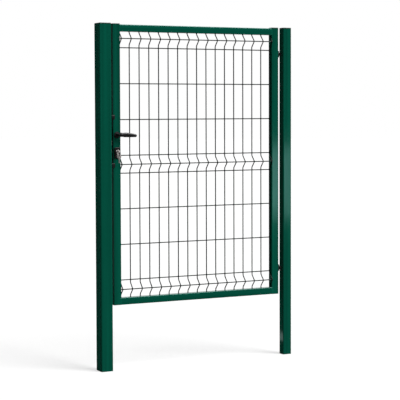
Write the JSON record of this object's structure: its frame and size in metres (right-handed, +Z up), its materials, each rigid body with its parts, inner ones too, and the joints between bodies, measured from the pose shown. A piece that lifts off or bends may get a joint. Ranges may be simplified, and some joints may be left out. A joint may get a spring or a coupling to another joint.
{
  "type": "pedestrian gate",
  "caption": "Framed gate leaf with a folded wire panel, hung on eye bolts between two posts, with a lever handle, key lock and keep.",
  "frame": {"origin": "centre of the hinge post's foot", "axes": "+Z up, -Y the front face, -X from the hinge post towards the latch post"},
  "size_m": [1.2265, 0.124, 1.937],
  "materials": {
    "green_coat": "satin moss-green powder coat",
    "wire_coat": "thin moss-green coat on welded wire",
    "cap_plastic": "dark moulded plastic",
    "black_plastic": "satin black moulded plastic",
    "zinc_steel": "zinc plated",
    "nickel": "nickel plated",
    "black_steel": "satin black coated steel"
  },
  "bodies": {
    "posts": {"hinge_post": "green_coat", "latch_post": "green_coat", "hinge_post_cap": "cap_plastic", "latch_post_cap": "cap_plastic", "keep": "black_plastic", "keep_front_rib": "black_plastic", "keep_back_rib": "black_plastic", "upper_stop": "black_plastic", "lower_stop": "black_plastic", "upper_eye_bolt": "black_steel", "lower_eye_bolt": "black_steel", "upper_lock_nut": "black_steel", "lower_lock_nut": "black_steel"},
    "leaf": {"hinge_stile": "green_coat", "latch_stile": "green_coat", "top_rail": "green_coat", "bottom_rail": "green_coat", "mesh_panel": "wire_coat", "hinge_stile_cap": "cap_plastic", "latch_stile_cap": "cap_plastic", "upper_hinge_bracket": "black_steel", "lower_hinge_bracket": "black_steel", "upper_hinge_pin": "black_steel", "lower_hinge_pin": "black_steel", "lock_case": "zinc_steel", "lock_faceplate": "black_steel", "lever_rose_front": "black_plastic", "lever_rose_back": "black_plastic", "key_escutcheon_front": "black_plastic", "key_escutcheon_back": "black_plastic", "lock_cylinder": "nickel"},
    "handle": {"front_lever": "black_plastic", "back_lever": "black_plastic", "spindle": "zinc_steel"},
    "latch": {"latch_bolt": "nickel"},
    "key": {"key_plug": "nickel", "key": "nickel", "key_ring": "zinc_steel", "spare_key": "nickel"}
  },
  "joints": [
    {"name": "leaf_swing", "type": "hinge", "parent": "posts", "child": "leaf", "pos_m": [-0.044, 0.0115, 1.78], "axis": [0, 0, -1], "range_deg": [0, 105]},
    {"name": "handle_turn", "type": "hinge", "parent": "leaf", "child": "handle", "pos_m": [-1.0905, 0, 1.317], "axis": [0, 1, 0], "range_deg": [0, 35], "stiffness_Nm_per_rad": 1.5, "springref_deg": -17.19},
    {"name": "latch_slide", "type": "slide", "parent": "leaf", "child": "latch", "axis": [1, 0, 0], "range_m": [0, 0.009]},
    {"name": "key_turn", "type": "hinge", "parent": "leaf", "child": "key", "pos_m": [-1.0905, -0.029, 1.225], "axis": [0, 1, 0], "range_deg": [-60, 30]}
  ],
  "couplings": [
    {"joint": "latch_slide", "follows": "handle_turn", "m_per_rad": 0.014733}
  ]
}
